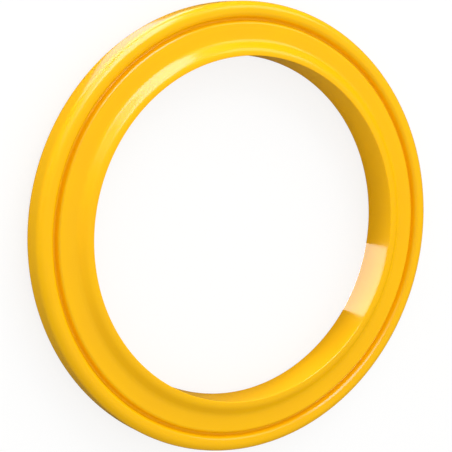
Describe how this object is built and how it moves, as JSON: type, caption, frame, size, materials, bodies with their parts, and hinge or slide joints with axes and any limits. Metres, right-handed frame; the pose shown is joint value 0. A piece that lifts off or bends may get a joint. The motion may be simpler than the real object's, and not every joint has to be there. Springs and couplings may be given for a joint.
{
  "type": "u cup seal",
  "caption": "Round yellow polyurethane U cup seal ring with a plain bore, a raised inner lip, a flat land, a narrow groove and an outer lip.",
  "frame": {"origin": "centre of the ring at the heel face, which it lies on", "axes": "+Z along the ring's axis, from the heel towards the lips"},
  "size_m": [0.085, 0.085, 0.0077],
  "materials": {
    "polyurethane": "glossy moulded polyurethane, opaque golden yellow"
  },
  "bodies": {
    "root": {"seal_ring": "polyurethane"}
  },
  "joints": []
}
